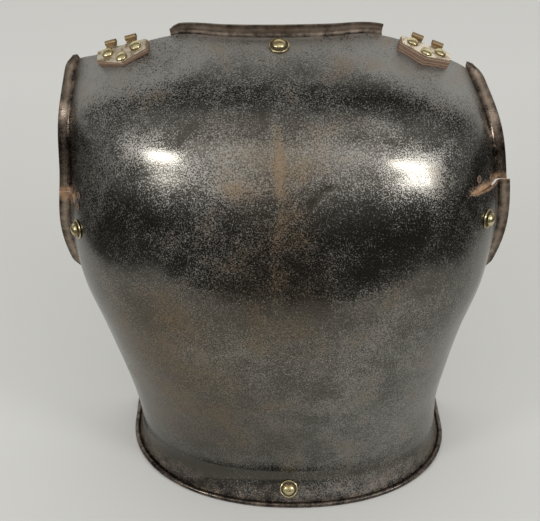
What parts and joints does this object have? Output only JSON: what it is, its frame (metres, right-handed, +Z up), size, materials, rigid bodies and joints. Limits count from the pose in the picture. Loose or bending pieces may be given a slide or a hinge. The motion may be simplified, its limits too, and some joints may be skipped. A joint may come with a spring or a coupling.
{
  "type": "cuirass backplate",
  "caption": "Raised steel backplate of a cuirass with turned flanges, wired waist edge, brass studs, shoulder hinge leaves and riveted repairs.",
  "frame": {"origin": "on the ground under the middle of the bounding box; the plate stands on its waist edge", "axes": "+Z up the back to the neck, -Y out of the back, +X to the wearer's right"},
  "size_m": [0.3986, 0.2016, 0.4536],
  "materials": {
    "dark_steel": "polished steel gone dark and mottled with age",
    "aged_brass": "rubbed brass with dark recesses",
    "old_iron": "dull iron with brown rust",
    "brown_leather": "thick brown leather, cut edge showing"
  },
  "bodies": {
    "root": {"back_plate": "dark_steel", "waist_wire": "old_iron", "left_stud_washer": "aged_brass", "left_stud_rivet": "aged_brass", "left_stud_burr": "aged_brass", "right_stud_washer": "aged_brass", "right_stud_rivet": "aged_brass", "right_stud_burr": "aged_brass", "neck_stud_washer": "aged_brass", "neck_stud_rivet": "aged_brass", "neck_stud_burr": "aged_brass", "waist_stud_washer": "aged_brass", "waist_stud_rivet": "aged_brass", "waist_stud_burr": "aged_brass", "left_hinge_leaf": "aged_brass", "left_hinge_leather": "brown_leather", "left_hinge_outer_rivet": "aged_brass", "left_hinge_outer_burr": "aged_brass", "left_hinge_inner_rivet": "aged_brass", "left_hinge_inner_burr": "aged_brass", "left_hinge_point_rivet": "aged_brass", "left_hinge_point_burr": "aged_brass", "right_hinge_leaf": "aged_brass", "right_hinge_leather": "brown_leather", "right_hinge_outer_rivet": "aged_brass", "right_hinge_outer_burr": "aged_brass", "right_hinge_inner_rivet": "aged_brass", "right_hinge_inner_burr": "aged_brass", "right_hinge_point_rivet": "aged_brass", "right_hinge_point_burr": "aged_brass", "left_repair_patch": "old_iron", "left_repair_rivet_1": "old_iron", "left_repair_rivet_2": "old_iron", "left_repair_rivet_3": "old_iron", "left_repair_rivet_4": "old_iron", "right_repair_patch": "old_iron", "right_repair_rivet_1": "old_iron", "right_repair_rivet_2": "old_iron"}
  },
  "joints": []
}
